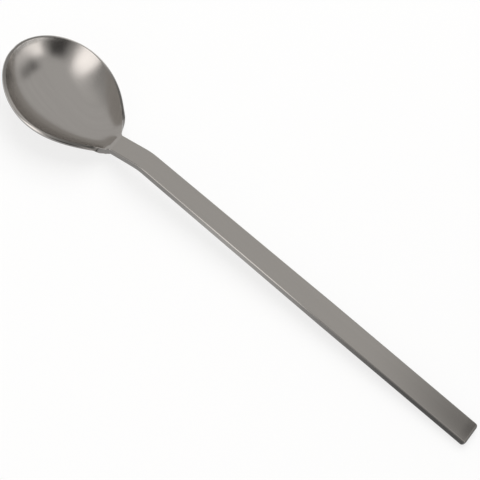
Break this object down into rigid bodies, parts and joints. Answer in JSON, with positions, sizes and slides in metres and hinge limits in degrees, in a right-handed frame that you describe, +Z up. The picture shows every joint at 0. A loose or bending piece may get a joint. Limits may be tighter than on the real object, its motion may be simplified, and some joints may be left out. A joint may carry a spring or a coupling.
{
  "type": "serving spoon",
  "caption": "Long-handled serving spoon: an egg-shaped pressed steel bowl welded to a flat bar handle with a bent neck, in brushed steel.",
  "frame": {"origin": "on the table, under the middle of the spoon's length", "axes": "+X along the spoon towards the free end of the handle, +Y across it, +Z up from the table, with the bowl's hollow facing up"},
  "size_m": [0.2754, 0.0526, 0.0185],
  "materials": {
    "bowl_steel": "satin, fine grain along the spoon",
    "seam_steel": "ground flush and satin brushed",
    "handle_steel": "satin, fine grain along the bar"
  },
  "bodies": {
    "root": {"bowl": "bowl_steel", "weld_seam": "seam_steel", "handle": "handle_steel"}
  },
  "joints": []
}
